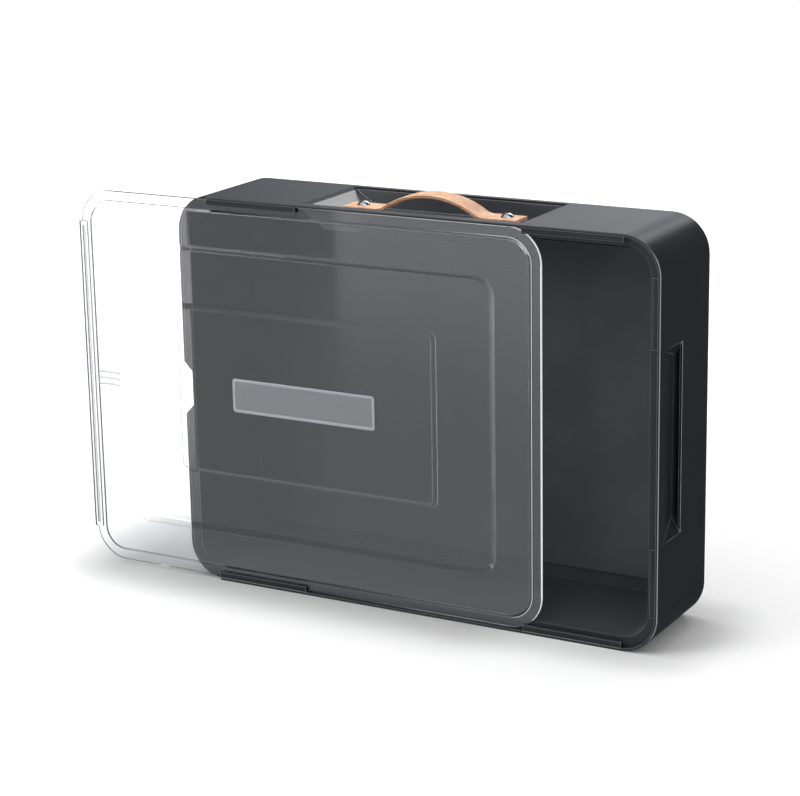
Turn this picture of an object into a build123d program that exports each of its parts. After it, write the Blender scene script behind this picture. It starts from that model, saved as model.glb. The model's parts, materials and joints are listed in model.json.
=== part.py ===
import os
from math import atan2, degrees

from build123d import *

# Tool case: a double-walled moulded box with a clear door that slides out to the left,
# and a leather strap bolted into a well in the top.
# The origin is the middle of the underside. +X is right, -Y is the open front, +Z is up.

# Box
width = 500.0
height = 382.5
depth = 112.7
corner_radius = 36.1
shell_wall = 2.5
front_bevel = 0.6
back_rounding = 1.5

# Lips that keep the door in its groove, flush with the front
lip_setback = 0.6
lip_thickness = 2.5
lip_reach = 8.0
lip_bevel = 0.5
top_lip_length = 98.0
top_lip_inset = 35.5
side_lip_length = 64.0
side_lip_inset = 36.3

# Door panel and its steps, each step a rounded rectangle about the panel's middle
door_thickness = 2.8
door_play = 0.35
door_edge_gap = 0.5
door_open = 112.4
door_border = 9.8
field_slope = 2.4
step_rise = 2.6
sunk_length = 406.0
sunk_height = 285.0
sunk_radius = 20.0
sunk_slope = 5.8
raised_length = 285.0
raised_height = 168.5
raised_radius = 8.0
raised_slope = 4.6
plate_length = 156.5
plate_height = 33.5
plate_radius = 3.6
plate_rise = 0.5

# Pull bar and thumb ribs on the door's left edge
pull_length = 313.5
pull_overhang = 1.8
pull_width = 9.2
pull_rise = 2.2
channel_width = 3.2
channel_inset = 3.6
channel_sink = 1.6
channel_end = 4.0
channel_corner = 1.4
rib_count = 3
rib_length = 21.5
rib_width = 2.6
rib_pitch = 6.1
rib_rise = 0.7
rib_inset = 13.0
rib_bow = 0.9

# Liner: rim, drafted walls and back
liner_fit = 0.2
liner_wall = 2.2
liner_back = 2.2
rim_width = 12.1
rim_thickness = 2.4
rim_bevel = 0.6
cavity_draft = 6.4

# Handle well in the top
well_length = 228.0
well_floor_length = 175.0
well_depth = 19.2
well_floor_thickness = 3.0
well_back_wall = 4.2
tray_gap = 0.3

# Strap, its posts and its bolts
strap_length = 180.0
strap_flat = 34.0
strap_width = 25.0
strap_thickness = 3.2
strap_rise = 16.5
strap_bend = 14.0
strap_corner = 2.0
bolt_spacing = 150.0
bolt_shank = 5.0
bolt_head = 12.6
bolt_head_height = 3.8
bolt_socket = 3.0
bolt_socket_depth = 2.0
bolt_clearance = 0.4
post_height = 9.5
post_length = 22.0
post_width = 20.0
post_corner = 5.0
insert_length = 8.0
insert_diameter = 7.2
insert_fit = 0.1
thread_fit = 0.1

# Hand grip on the right side and finger notch on the left edge
grip_length = 177.5
grip_inner_length = 151.0
grip_sink = 9.0
grip_front = 10.0
grip_mouth = 51.0
cup_reach = 19.0
cup_wall = 2.0
notch_length = 52.5
notch_inner_length = 34.0
notch_sink = 8.9
notch_run = 34.0
notch_skin = 3.0

# Panel on the cavity's back, held by moulded pins
panel_thickness = 2.0
panel_side_gap = 1.4
panel_band = 13.2
panel_corner = 3.0
pin_diameter = 5.0
pin_fit = 0.2
pin_columns = 3
pin_inset = 28.0

# Screws from the back into towers between the two walls
screw_inset = 9.5
screw_spread = 340.0
screw_rise = 220.0
screw_shank = 3.4
screw_head = 7.0
screw_head_height = 2.2
screw_length = 20.0
screw_clearance = 0.4
pilot_fit = 0.1
cross_length = 4.2
cross_width = 1.0
cross_depth = 1.2
counterbore = 7.8
counterbore_depth = 3.0
socket_diameter = 9.5
socket_height = 6.0
tower_diameter = 8.0
tower_length = 42.0
tower_rib = 3.0
pilot_depth = 17.0

# Places that follow from the sizes above
overrun = 1.0
touch = 0.01
middle = height / 2
top_wall_underside = height - shell_wall
slab_front = lip_setback + lip_thickness + door_play
rim_face = slab_front + door_thickness + door_play
shell_back = depth - shell_wall
cavity_back = shell_back - liner_back
well_front = rim_face + rim_thickness
well_back = shell_back - well_back_wall
well_floor = height - well_depth
well_underside = well_floor - well_floor_thickness
well_slope = (well_length - well_floor_length) / 2 / well_depth
strap_seat = well_floor + post_height
strap_top = strap_seat + strap_thickness
strap_middle = (well_front + well_back) / 2
strap_plane = Plane((0, strap_middle - depth / 2, well_floor))
door_width = width - shell_wall - door_edge_gap
door_height = height - 2 * (shell_wall + door_edge_gap)
door_corner = corner_radius - shell_wall - door_edge_gap
door_left = -width / 2 - door_open
door_middle = door_left + door_width / 2
panel_front = cavity_back - panel_thickness
back_inset = rim_width + cavity_draft


def plane_behind_front(distance):
    # A plane parallel to the front, facing out of the case
    return Plane.XZ.offset(depth / 2 - distance)


def case_outline(inset):
    # The case's rounded outline, drawn in by the inset
    with Locations((0, middle)):
        RectangleRounded(width - 2 * inset, height - 2 * inset, corner_radius - inset)


def well_profile(base_height, base_half_length, top_height):
    # The well's trapezium seen from the front
    spread = (top_height - base_height) * well_slope
    Polygon(
        (-base_half_length, base_height),
        (base_half_length, base_height),
        (base_half_length + spread, top_height),
        (-base_half_length - spread, top_height),
        align=None,
    )


def finger_wedge(face, inward, shallow, deep, sink, mouth_length, inner_length, skin, reach):
    # A ramp sunk into a side wall: shallow and deep are distances behind the front,
    # and skin makes the same shape larger all round for the wall that carries it
    start = face + inward * skin
    floor = start + inward * sink
    outside = start - inward * reach
    with BuildPart() as wedge:
        with BuildSketch(Plane.XY):
            Polygon(
                (start, shallow - depth / 2),
                (floor, deep - depth / 2),
                (outside, deep - depth / 2),
                (outside, shallow - depth / 2),
                align=None,
            )
        extrude(amount=height)
        with BuildSketch(plane_behind_front(-overrun)):
            wedge_outline(start, floor, outside, mouth_length / 2 + skin, inner_length / 2 + skin)
        extrude(amount=-depth, mode=Mode.INTERSECT)
    return wedge.part


def wedge_outline(start, floor, outside, half_mouth, half_inner):
    Polygon(
        (outside, middle - half_mouth),
        (start, middle - half_mouth),
        (floor, middle - half_inner),
        (floor, middle + half_inner),
        (start, middle + half_mouth),
        (outside, middle + half_mouth),
        align=None,
    )


def grip_wedge(skin, reach):
    return finger_wedge(width / 2, -1, grip_front, grip_mouth, grip_sink,
                        grip_length, grip_inner_length, skin, reach)


def notch_wedge(skin, reach):
    return finger_wedge(-width / 2, 1, rim_face + notch_run, rim_face, notch_sink,
                        notch_length, notch_inner_length, skin, reach)


side_screw_x = width / 2 - screw_inset
screw_places = []
for side in (-1, 1):
    screw_places.append((side * screw_spread / 2, screw_inset))
    screw_places.append((side * screw_spread / 2, height - screw_inset))
    screw_places.append((side * side_screw_x, middle - screw_rise / 2))
    screw_places.append((side * side_screw_x, middle + screw_rise / 2))

panel_inset = back_inset + panel_side_gap
panel_low = back_inset + panel_band
panel_high = well_underside - panel_band
panel_middle = (panel_low + panel_high) / 2
pin_places = []
for column in range(pin_columns):
    for row in (-1, 1):
        pin_x = (width / 2 - panel_inset - pin_inset) * (2 * column / (pin_columns - 1) - 1)
        pin_z = panel_middle + row * ((panel_high - panel_low) / 2 - pin_inset)
        pin_places.append((pin_x, pin_z))

grip_skin = grip_wedge(shell_wall, shell_wall / 2)
grip_hollow = grip_wedge(0, overrun)
notch_block = notch_wedge(notch_skin, notch_skin - shell_wall - liner_fit)
notch_hollow = notch_wedge(0, overrun)

# Outer shell: open box with six lips, the side grip and screw sockets in its back
with BuildPart() as outer_shell:
    with BuildSketch(plane_behind_front(0)):
        case_outline(0)
    extrude(amount=-depth)
    chamfer(faces().sort_by(Axis.Y)[0].edges(), front_bevel)
    fillet(faces().sort_by(Axis.Y)[-1].edges(), back_rounding)
    with BuildSketch(plane_behind_front(0)):
        case_outline(shell_wall)
    extrude(amount=-shell_back, mode=Mode.SUBTRACT)
    # The left side stops at the rim, so that the door can leave the case there
    with BuildSketch(plane_behind_front(-overrun)):
        with Locations((-width / 2, middle)):
            Rectangle(2 * corner_radius, height + 2 * overrun)
    extrude(amount=-(rim_face + overrun), mode=Mode.SUBTRACT)
    lip_depth = lip_reach - shell_wall / 2
    lip_middle = shell_wall / 2 + lip_depth / 2
    for side in (-1, 1):
        lip_x = side * (width / 2 - top_lip_inset - top_lip_length / 2)
        lip_z = side * (middle - side_lip_inset - side_lip_length / 2)
        with BuildSketch(plane_behind_front(lip_setback)):
            with Locations((lip_x, lip_middle), (lip_x, height - lip_middle)):
                Rectangle(top_lip_length, lip_depth)
            with Locations((width / 2 - lip_middle, middle + lip_z)):
                Rectangle(lip_depth, side_lip_length)
        extrude(amount=-lip_thickness)
    lip_front = lip_setback - depth / 2
    lip_edges = edges().filter_by_position(Axis.Y, lip_front - touch, lip_front + touch)
    inner_lip_edges = lip_edges.filter_by(
        lambda edge: abs(edge.center().Z - middle) < middle - lip_reach + touch
        and edge.center().X < width / 2 - lip_reach + touch
        and edge.length > side_lip_length - touch
    )
    chamfer(inner_lip_edges, lip_bevel)
    # Opening for the handle well
    with BuildSketch(plane_behind_front(well_front)):
        well_profile(well_floor, well_floor_length / 2, height + overrun)
    extrude(amount=-(well_back - well_front), mode=Mode.SUBTRACT)
    add(grip_skin)
    add(grip_hollow, mode=Mode.SUBTRACT)
    add(notch_hollow, mode=Mode.SUBTRACT)
    with BuildSketch(plane_behind_front(shell_back)):
        with Locations(*screw_places):
            Circle(socket_diameter / 2)
    extrude(amount=socket_height)
    with BuildSketch(plane_behind_front(depth)):
        with Locations(*screw_places):
            Circle(counterbore / 2)
    extrude(amount=counterbore_depth, mode=Mode.SUBTRACT)
    with BuildSketch(plane_behind_front(depth)):
        with Locations(*screw_places):
            Circle((screw_shank + screw_clearance) / 2)
    extrude(amount=shell_wall + socket_height, mode=Mode.SUBTRACT)
outer_shell.part.label = "outer_shell"

# Inner liner: rim, drafted tub, finger notch, screw towers and the handle well's front wall
tower_back = shell_back - socket_height
with BuildPart() as inner_liner:
    with BuildSketch(plane_behind_front(rim_face)):
        case_outline(rim_width - liner_wall)
    with BuildSketch(plane_behind_front(shell_back)):
        case_outline(back_inset - liner_wall)
    loft()
    with BuildSketch(plane_behind_front(rim_face)):
        case_outline(shell_wall + liner_fit)
    extrude(amount=-rim_thickness)
    with BuildSketch(plane_behind_front(tower_back)):
        with Locations(*screw_places):
            Circle(tower_diameter / 2)
        for side in (-1, 1):
            side_rib_x = side * (side_screw_x - tower_diameter / 2)
            for top in (-1, 1):
                top_rib_z = middle + top * (middle - screw_inset - tower_diameter / 2)
                with Locations((side * screw_spread / 2, top_rib_z)):
                    Rectangle(tower_rib, tower_diameter)
                with Locations((side_rib_x, middle + top * screw_rise / 2)):
                    Rectangle(tower_diameter, tower_rib)
    extrude(amount=tower_length)
    add(notch_block)
    with BuildSketch(plane_behind_front(rim_face)):
        case_outline(rim_width)
    with BuildSketch(plane_behind_front(cavity_back)):
        case_outline(back_inset)
    loft(mode=Mode.SUBTRACT)
    with BuildSketch(plane_behind_front(rim_face)):
        case_outline(rim_width - rim_bevel)
    with BuildSketch(plane_behind_front(rim_face + rim_bevel)):
        case_outline(rim_width)
    loft(mode=Mode.SUBTRACT)
    with BuildSketch(plane_behind_front(rim_face)):
        well_profile(well_underside, well_floor_length / 2, top_wall_underside - liner_fit)
    extrude(amount=-rim_thickness)
    # The handle tray drops through the top wall, behind the rim
    with BuildSketch(plane_behind_front(well_front)):
        well_profile(well_underside - tray_gap, well_floor_length / 2 + tray_gap, height)
    extrude(amount=-(shell_back - well_front), mode=Mode.SUBTRACT)
    add(notch_hollow, mode=Mode.SUBTRACT)
    with BuildSketch(plane_behind_front(tower_back)):
        with Locations(*screw_places):
            Circle((screw_shank + pilot_fit) / 2)
    extrude(amount=pilot_depth, mode=Mode.SUBTRACT)
    with BuildSketch(plane_behind_front(shell_back)):
        with Locations(*pin_places):
            Circle((pin_diameter + pin_fit) / 2)
    extrude(amount=liner_back, mode=Mode.SUBTRACT)
inner_liner.part.label = "inner_liner"

# Handle tray: the well's floor, sloping ends and back, with a post under each end of the strap
with BuildPart() as handle_tray:
    with BuildSketch(plane_behind_front(well_front)):
        well_profile(well_underside, well_floor_length / 2, top_wall_underside - liner_fit)
    extrude(amount=-(shell_back - well_front))
    with BuildSketch(plane_behind_front(well_front)):
        well_profile(well_floor, well_floor_length / 2, height)
    extrude(amount=-(well_back - well_front), mode=Mode.SUBTRACT)
    with BuildSketch(strap_plane):
        with GridLocations(bolt_spacing, 0, 2, 1):
            RectangleRounded(post_length, post_width, post_corner)
    extrude(amount=post_height)
    with BuildSketch(strap_plane.offset(post_height)):
        with GridLocations(bolt_spacing, 0, 2, 1):
            Circle((insert_diameter + insert_fit) / 2)
    extrude(amount=-insert_length, mode=Mode.SUBTRACT)
handle_tray.part.label = "handle_tray"

# Back panel: a flat plate, pinned through the liner's back
with BuildPart() as back_panel:
    with BuildSketch(plane_behind_front(panel_front)):
        with Locations((0, panel_middle)):
            RectangleRounded(width - 2 * panel_inset, panel_high - panel_low, panel_corner)
    extrude(amount=-panel_thickness)
    with BuildSketch(plane_behind_front(cavity_back)):
        with Locations(*pin_places):
            Circle(pin_diameter / 2)
    extrude(amount=-liner_back)
back_panel.part.label = "back_panel"

# Grip cup: the tray behind the right side's opening, which the fingertips reach into
with BuildPart() as side_grip_cup:
    cup_face = width / 2 - shell_wall
    cup_floor = width / 2 - grip_sink
    with BuildSketch(plane_behind_front(grip_mouth)):
        wedge_outline(width / 2 - cup_wall, cup_floor - cup_wall, width / 2 + overrun,
                      grip_length / 2 + cup_wall, grip_inner_length / 2 + cup_wall)
    extrude(amount=-(cup_reach + cup_wall))
    with BuildSketch(plane_behind_front(grip_mouth)):
        wedge_outline(width / 2, cup_floor, width / 2 + 2 * overrun,
                      grip_length / 2, grip_inner_length / 2)
    extrude(amount=-cup_reach, mode=Mode.SUBTRACT)
    split(bisect_by=Plane.YZ.offset(cup_face), keep=Keep.BOTTOM)
side_grip_cup.part.label = "side_grip_cup"


def door_step(length, tall, radius, slope, base, top):
    # A rounded rectangle that narrows by its slope between two distances behind the front
    with BuildPart() as step:
        with BuildSketch(plane_behind_front(base)):
            with Locations((door_middle, middle)):
                RectangleRounded(length, tall, radius)
        with BuildSketch(plane_behind_front(top)):
            with Locations((door_middle, middle)):
                RectangleRounded(length - 2 * slope, tall - 2 * slope, radius - slope)
        loft()
    return step.part


def door_relief(front, margin):
    # Everything behind the door's stepped face, when its border lies at this distance
    high = front - step_rise
    field = door_step(door_width - 2 * door_border, door_height - 2 * door_border,
                      door_corner - door_border, field_slope, front, high)
    sunk = door_step(sunk_length, sunk_height, sunk_radius, sunk_slope, high, front)
    raised = door_step(raised_length, raised_height, raised_radius, raised_slope, front, high)
    with BuildPart() as relief:
        with BuildSketch(plane_behind_front(front)):
            with Locations((door_middle, middle)):
                RectangleRounded(door_width + 2 * margin, door_height + 2 * margin, door_corner + margin)
        extrude(amount=-(door_thickness + overrun))
        add(field)
        add(sunk, mode=Mode.SUBTRACT)
        add(raised)
    return relief.part


door_face = door_relief(slab_front, 0)
door_rear = door_relief(slab_front + door_thickness, overrun)
field_front = slab_front - step_rise
pull_middle = door_left - pull_overhang + pull_width / 2
channel_middle = door_left - pull_overhang + channel_inset + channel_width / 2

# Sliding door: clear stepped panel with a pull bar, thumb ribs and a bare name plate
with BuildPart() as sliding_door:
    add(door_face)
    add(door_rear, mode=Mode.SUBTRACT)
    with BuildSketch(plane_behind_front(slab_front + door_thickness)):
        with Locations((pull_middle, middle)):
            Rectangle(pull_width, pull_length)
    extrude(amount=door_thickness + pull_rise)
    with BuildSketch(plane_behind_front(slab_front - pull_rise)):
        with Locations((channel_middle, middle)):
            RectangleRounded(channel_width, pull_length - 2 * channel_end, channel_corner)
    extrude(amount=-channel_sink, mode=Mode.SUBTRACT)
    with BuildSketch(plane_behind_front(field_front)):
        for step in range(rib_count):
            rib_z = middle + (step - (rib_count - 1) / 2) * rib_pitch
            rib_x = door_left + rib_inset
            with BuildLine() as rib_line:
                ThreePointArc(
                    (rib_x, rib_z),
                    (rib_x + rib_length / 2, rib_z + rib_bow),
                    (rib_x + rib_length, rib_z),
                )
            SlotArc(rib_line.edge(), rib_width)
    extrude(amount=rib_rise)
    with BuildSketch(plane_behind_front(field_front)):
        with Locations((door_middle, middle)):
            RectangleRounded(plate_length, plate_height, plate_radius)
    extrude(amount=plate_rise)
sliding_door.part.label = "sliding_door"

# Leather strap: flat ends, reverse bends and a round arch between them
arch_span = strap_length / 2 - strap_flat
arch_radii = (arch_span**2 + strap_rise**2) / (2 * strap_rise)
arch_radius = arch_radii - strap_bend
bend_centre = (-arch_span, strap_top + strap_bend)
arch_centre = (0, strap_top + strap_rise - arch_radius)
arch_angle = degrees(atan2(bend_centre[1] - arch_centre[1], bend_centre[0] - arch_centre[0]))
bend_angle = arch_angle - 90
strap_end = (-strap_length / 2, strap_top)
with BuildPart() as leather_strap:
    with BuildSketch(plane_behind_front(strap_middle)):
        with BuildLine():
            top_flat = Line(strap_end, (-arch_span, strap_top))
            top_bend = CenterArc(bend_centre, strap_bend, 270, bend_angle)
            top_arch = CenterArc(arch_centre, arch_radius, arch_angle, 90 - arch_angle)
            crown = Line(top_arch @ 1, top_arch @ 1 - (0, strap_thickness))
            low_arch = CenterArc(arch_centre, arch_radius - strap_thickness, arch_angle, 90 - arch_angle)
            low_bend = CenterArc(bend_centre, strap_bend + strap_thickness, 270, bend_angle)
            low_flat = Line(low_bend @ 0, (strap_end[0], strap_seat))
            Line(low_flat @ 1, strap_end)
        make_face()
        mirror(about=Plane.YZ)
    extrude(amount=strap_width / 2, both=True)
    fillet(edges().filter_by(Axis.Z).group_by(Axis.X)[0], strap_corner)
    fillet(edges().filter_by(Axis.Z).group_by(Axis.X)[-1], strap_corner)
    with BuildSketch(strap_plane.offset(post_height)):
        with GridLocations(bolt_spacing, 0, 2, 1):
            Circle((bolt_shank + bolt_clearance) / 2)
    extrude(amount=strap_thickness, mode=Mode.SUBTRACT)
leather_strap.part.label = "leather_strap"


def strap_bolt(x, label):
    # Dome-headed bolt with a hexagon socket
    cap_radius = (bolt_head**2 / 4 + bolt_head_height**2) / (2 * bolt_head_height)
    seat = Vector(x, strap_middle - depth / 2, strap_top)
    with BuildPart() as bolt:
        with BuildSketch(Plane(seat, x_dir=(1, 0, 0), z_dir=(0, -1, 0))):
            with BuildLine():
                foot = Line((0, 0), (bolt_head / 2, 0))
                RadiusArc((0, bolt_head_height), foot @ 1, cap_radius)
                Line((0, bolt_head_height), (0, 0))
            make_face()
        revolve(axis=Axis(seat, (0, 0, 1)))
        with BuildSketch(Plane(seat).offset(bolt_head_height)):
            RegularPolygon(bolt_socket / 2, 6, major_radius=False)
        extrude(amount=-bolt_socket_depth, mode=Mode.SUBTRACT)
        with BuildSketch(Plane(seat)):
            Circle(bolt_shank / 2)
        extrude(amount=-(strap_thickness + insert_length))
    bolt.part.label = label
    return bolt.part


def threaded_insert(x, label):
    # Brass insert pressed into the strap post
    with BuildPart() as insert:
        with BuildSketch(Plane((x, strap_middle - depth / 2, strap_seat))):
            Circle(insert_diameter / 2)
            Circle((bolt_shank + thread_fit) / 2, mode=Mode.SUBTRACT)
        extrude(amount=-insert_length)
    insert.part.label = label
    return insert.part


strap_bolt_left = strap_bolt(-bolt_spacing / 2, "strap_bolt_left")
strap_bolt_right = strap_bolt(bolt_spacing / 2, "strap_bolt_right")
strap_insert_left = threaded_insert(-bolt_spacing / 2, "strap_insert_left")
strap_insert_right = threaded_insert(bolt_spacing / 2, "strap_insert_right")

# Case screws: one pan-headed screw in each socket of the shell's back
with BuildPart() as case_screws:
    head_seat = plane_behind_front(depth - counterbore_depth)
    with BuildSketch(head_seat):
        with Locations(*screw_places):
            Circle(screw_head / 2)
    extrude(amount=-screw_head_height)
    with BuildSketch(head_seat):
        with Locations(*screw_places):
            Circle(screw_shank / 2)
    extrude(amount=screw_length)
    with BuildSketch(head_seat.offset(-screw_head_height)):
        with Locations(*screw_places):
            Rectangle(cross_length, cross_width)
            Rectangle(cross_width, cross_length)
    extrude(amount=cross_depth, mode=Mode.SUBTRACT)
case_screws.part.label = "case_screws"

os.makedirs("parts", exist_ok=True)
export_step(outer_shell.part, "parts/outer_shell.step")
export_step(inner_liner.part, "parts/inner_liner.step")
export_step(handle_tray.part, "parts/handle_tray.step")
export_step(back_panel.part, "parts/back_panel.step")
export_step(side_grip_cup.part, "parts/side_grip_cup.step")
export_step(sliding_door.part, "parts/sliding_door.step")
export_step(leather_strap.part, "parts/leather_strap.step")
export_step(strap_bolt_left, "parts/strap_bolt_left.step")
export_step(strap_bolt_right, "parts/strap_bolt_right.step")
export_step(strap_insert_left, "parts/strap_insert_left.step")
export_step(strap_insert_right, "parts/strap_insert_right.step")
export_step(case_screws.part, "parts/case_screws.step")
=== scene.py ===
import json
import math

import bmesh
import bpy
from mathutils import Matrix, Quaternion, Vector


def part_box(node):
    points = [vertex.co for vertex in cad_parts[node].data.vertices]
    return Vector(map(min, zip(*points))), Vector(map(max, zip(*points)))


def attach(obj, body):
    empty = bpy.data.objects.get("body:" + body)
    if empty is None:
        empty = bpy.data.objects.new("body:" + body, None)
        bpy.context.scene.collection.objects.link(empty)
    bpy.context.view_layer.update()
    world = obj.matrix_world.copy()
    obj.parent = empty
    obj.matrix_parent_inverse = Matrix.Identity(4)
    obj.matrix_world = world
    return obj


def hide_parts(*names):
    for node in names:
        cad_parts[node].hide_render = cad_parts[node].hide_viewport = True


# Tool case. The moulded pieces come from the frame and get their finishes here.
# The clear door and the leather strap are modelled here, on the places of their solids.
# Metres, +X right, -Y the open front, +Z up.

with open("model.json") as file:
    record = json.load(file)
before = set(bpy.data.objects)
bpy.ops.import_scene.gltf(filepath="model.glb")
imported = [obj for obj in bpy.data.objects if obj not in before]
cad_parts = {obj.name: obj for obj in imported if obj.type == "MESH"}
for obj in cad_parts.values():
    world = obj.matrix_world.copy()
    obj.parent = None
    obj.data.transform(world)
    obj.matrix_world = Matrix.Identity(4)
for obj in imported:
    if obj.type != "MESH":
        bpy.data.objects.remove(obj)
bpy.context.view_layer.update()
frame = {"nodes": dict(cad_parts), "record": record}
nodes = frame["nodes"]
print("frame loaded:", len(nodes), "pieces")


class Wire:
    # a node's output that Python maths can be written on
    def __init__(self, finish, socket):
        self.finish = finish
        self.socket = socket

    def maths(self, operation, *inputs):
        return self.finish.node("ShaderNodeMath", {"operation": operation}, inputs)

    def atMostOne(self):
        return self.maths("MINIMUM", self, 1.0)

    def __add__(self, other):
        return self.maths("ADD", self, other)

    def __sub__(self, other):
        return self.maths("SUBTRACT", self, other)

    def __rsub__(self, other):
        return self.maths("SUBTRACT", other, self)

    def __mul__(self, other):
        return self.maths("MULTIPLY", self, other)

    def __gt__(self, other):
        return self.maths("GREATER_THAN", self, other)

    __radd__ = __add__
    __rmul__ = __mul__


class Finish:
    # the node tree of a material or of the world
    def __init__(self, owner):
        owner.use_nodes = True
        self.owner = owner
        self.tree = owner.node_tree
        self.tree.nodes.clear()

    def node(self, kind, settings=None, values=None, output=0):
        made = self.tree.nodes.new(kind)
        for name, value in (settings or {}).items():
            setattr(made, name, value)
        pairs = values.items() if isinstance(values, dict) else enumerate(values or [])
        for key, value in pairs:
            if isinstance(value, Wire):
                self.tree.links.new(value.socket, made.inputs[key])
            else:
                made.inputs[key].default_value = value
        return Wire(self, made.outputs[output])

    def outputs(self, kind, values, *names):
        # several outputs of one node
        made = self.node(kind, {}, values).socket.node
        return [Wire(self, made.outputs[name]) for name in names]

    def vector(self, operation, *inputs):
        # vector maths, of which a dot product and a length are numbers
        output = "Value" if operation in ("DOT_PRODUCT", "LENGTH") else "Vector"
        return self.node("ShaderNodeVectorMath", {"operation": operation}, inputs, output)

    def parts(self, vector, *names):
        return self.outputs("ShaderNodeSeparateXYZ", [vector], *names)

    def part(self, vector, name):
        return self.parts(vector, name)[0]

    def place(self):
        return self.node("ShaderNodeTexCoord", output="Object")

    def normal(self):
        return self.node("ShaderNodeNewGeometry", output="Normal")

    def noise(self, size, detail, rough, stretch=None):
        where = self.vector("MULTIPLY", self.place(), stretch) if stretch else self.place()
        return self.node("ShaderNodeTexNoise", {}, {
            "Vector": where, "Scale": 1 / size, "Detail": detail, "Roughness": rough})

    def ramp(self, value, low, high, bottom=0.0, top=1.0):
        return self.node("ShaderNodeMapRange", {"interpolation_type": "SMOOTHSTEP"}, {
            "Value": value, "From Min": low, "From Max": high, "To Min": bottom, "To Max": top})

    def fall(self, value, low, high):
        return self.ramp(value, low, high, 1.0, 0.0)

    def blend(self, share, first, second, kind="MIX"):
        # a colour between two colours, or their product
        return self.node("ShaderNodeMix", {"data_type": "RGBA", "blend_type": kind}, {
            0: share, 6: first, 7: second}, 2)

    def drifting(self, share, colour, drift):
        # a colour that wanders to both sides of itself
        return self.blend(share, tinted(colour, 1 - drift), tinted(colour, 1 + drift))

    def bevel(self, radius, samples):
        # the normal with every edge rounded
        return self.node("ShaderNodeBevel", {"samples": samples}, {"Radius": radius})

    def bump(self, strength, depth, height, normal=None):
        values = {"Strength": strength, "Distance": depth, "Height": height}
        if normal:
            values["Normal"] = normal
        return self.node("ShaderNodeBump", {}, values)

    def surface(self, values):
        return self.node("ShaderNodeBsdfPrincipled", {}, values)

    def mixed(self, share, first, second):
        return self.node("ShaderNodeMixShader", {}, [share, first, second])

    def show(self, surface, kind="ShaderNodeOutputMaterial"):
        made = self.tree.nodes.new(kind)
        self.tree.links.new(surface.socket, made.inputs["Surface"])
        return self.owner


def newFinish(name):
    return Finish(bpy.data.materials.new(name))


def between(share, first, second):
    # a number between two numbers
    return first + share * (second - first)


def grey(level):
    return (level, level, level, 1.0)


def tinted(colour, factor=1.0):
    return (colour[0] * factor, colour[1] * factor, colour[2] * factor, 1.0)


# Moulded anthracite plastic
shellLook = {
    "colour": (0.024, 0.0255, 0.030),
    "drift": 0.10,        # how far the colour wanders over the part
    "grain": 0.00045,     # width of the mould's spark-eroded grain
    "depth": 0.000035,
    "roughness": 0.33,
    "sheen": 0.06,
    "edge": 0.0006,       # rounding of every moulded edge
    "edgeHighlight": 0.24,       # painted highlight: grey of the edges
    "slantHighlight": 0.42,     # and a brighter painted highlight on those that face front and right
    "gripHighlight": 0.95,     # the same at the side grip
    "under": 0.24,        # and of those that face down
    "inside": 1.0,        # painted light: how much lighter the plastic behind the rim is painted
}
linerLook = {
    "colour": (0.030, 0.031, 0.035),
    "drift": 0.12,
    "grain": 0.0006,
    "depth": 0.00005,
    "roughness": 0.42,
    "sheen": 0.06,
    "edge": 0.0005,
    # painted highlights on the edges, and painted shade on those that face down
    "edgeHighlight": 0.15,
    "slantHighlight": 0.20,
    "gripHighlight": 0.20,
    "under": 0.002,
    "inside": 1.80,       # painted lighter there, standing for more light on the inner walls
}
panelLook = dict(linerLook, colour=(0.041, 0.0425, 0.0475), roughness=0.5)
trayLook = dict(linerLook, colour=(0.034, 0.0355, 0.041), roughness=0.30, sheen=1.0, inside=1.0)
# what all moulded pieces share, and where its zones start and end
moulding = {
    "flow": (0.09, 3.0, 0.55),         # size, detail and roughness of the colour's drift
    "flowSpread": (0.3, 0.7),
    "grain": (3.0, 0.6),               # detail and roughness
    "pores": (1.0, 0.5),
    "poreSize": 3.1,                   # in widths of the grain
    "poreDepth": 0.5,
    "relief": 0.5,
    "glossDrift": 0.10,
    "bevelSamples": 8,
    "rimBack": (-0.0492, -0.047),      # along Y, behind the rim
    "gripLeft": (0.20, 0.21),          # along X, left of the side grip
    "gripFront": (-0.04, -0.03),       # along Y, before it and behind it
    "gripBack": (0.02, 0.03),
    "downward": (-0.6, -0.2),          # Z of the rounded normal
    "edgeTurn": (0.006, 0.07),         # how far the rounded normal leaves the face's own
    "slant": (0.7071, -0.7071, 0.0),   # to the front and to the right
    "slantSpread": (0.86, 0.96),
}
# painted light: the smooth wall before the handle well is painted lighter at its left end
wallPaintedLight = {
    "grey": 0.18,
    "halfLength": 0.0875,              # at its foot
    "foot": 0.3603,
    "spread": 1.38,                    # growth of that half length with the height
    "softEnd": 0.0004,
    "softFoot": 0.0003,
    "fade": (-0.085, -0.02),           # along X
}


def paintedWallLightShare(finish, wall):
    # 1 where light is painted on the left end of the wall before the handle well, fading out to its
    # middle
    x, z = finish.parts(finish.place(), "X", "Z")
    reach = wall["halfLength"] + (z - wall["foot"]) * wall["spread"]
    return (finish.ramp(reach + x, 0.0, wall["softEnd"])
            * finish.ramp(z, wall["foot"], wall["foot"] + wall["softFoot"])
            * finish.fall(x, *wall["fade"]))


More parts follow.
